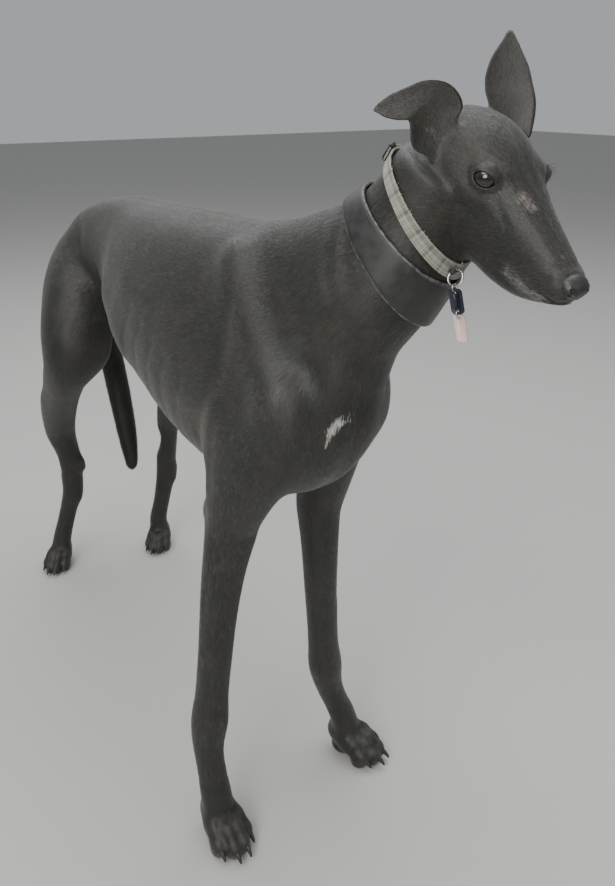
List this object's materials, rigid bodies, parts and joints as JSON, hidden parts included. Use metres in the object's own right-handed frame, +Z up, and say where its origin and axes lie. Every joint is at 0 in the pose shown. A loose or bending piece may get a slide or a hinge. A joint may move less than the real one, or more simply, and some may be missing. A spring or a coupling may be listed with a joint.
{
  "type": "standing greyhound with collars",
  "caption": "Life-size standing greyhound with a smooth black coat, one ear pricked and one folded, wearing a wide and a narrow collar with hanging tags.",
  "frame": {"origin": "middle of the base of the bounding box, on the floor between the paws", "axes": "+X forward, from tail to nose; +Y to the dog's left; +Z up"},
  "size_m": [1.0058, 0.2684, 0.8892],
  "materials": {
    "coat": "short black fur with a soft grey sheen",
    "nose_skin": "black, fine pebbled, slightly moist",
    "eye": "dark brown, wet gloss",
    "claw": "dark horn",
    "tartan_fabric": "woven check in cream, grey and tan",
    "black_leather": "smooth, soft sheen",
    "black_plastic": "moulded",
    "steel": "worn wire",
    "navy_plastic": "moulded",
    "pale_plastic": "pinkish white"
  },
  "bodies": {
    "root": {"claw_front_left_1": "claw", "claw_front_left_2": "claw", "claw_front_left_3": "claw", "claw_front_left_4": "claw", "claw_front_right_1": "claw", "claw_front_right_2": "claw", "claw_front_right_3": "claw", "claw_front_right_4": "claw", "claw_hind_left_1": "claw", "claw_hind_left_2": "claw", "claw_hind_left_3": "claw", "claw_hind_left_4": "claw", "claw_hind_right_1": "claw", "claw_hind_right_2": "claw", "claw_hind_right_3": "claw", "claw_hind_right_4": "claw", "collar_clasp": "black_plastic", "collar_loop": "tartan_fabric", "collar_narrow": "tartan_fabric", "collar_ring": "steel", "collar_slider": "black_plastic", "collar_strap_end": "tartan_fabric", "collar_wide": "black_leather", "ear_left": "coat", "ear_right": "coat", "eye_left": "eye", "eye_right": "eye", "head": "coat", "leg_front_left": "coat", "leg_front_right": "coat", "leg_hind_left": "coat", "leg_hind_right": "coat", "neck": "coat", "nose": "nose_skin", "paw_front_left": "coat", "paw_front_right": "coat", "paw_hind_left": "coat", "paw_hind_right": "coat", "tag_dark": "navy_plastic", "tag_link_lower": "steel", "tag_link_upper": "steel", "tag_pale": "pale_plastic", "tail": "coat", "torso": "coat"}
  },
  "joints": []
}
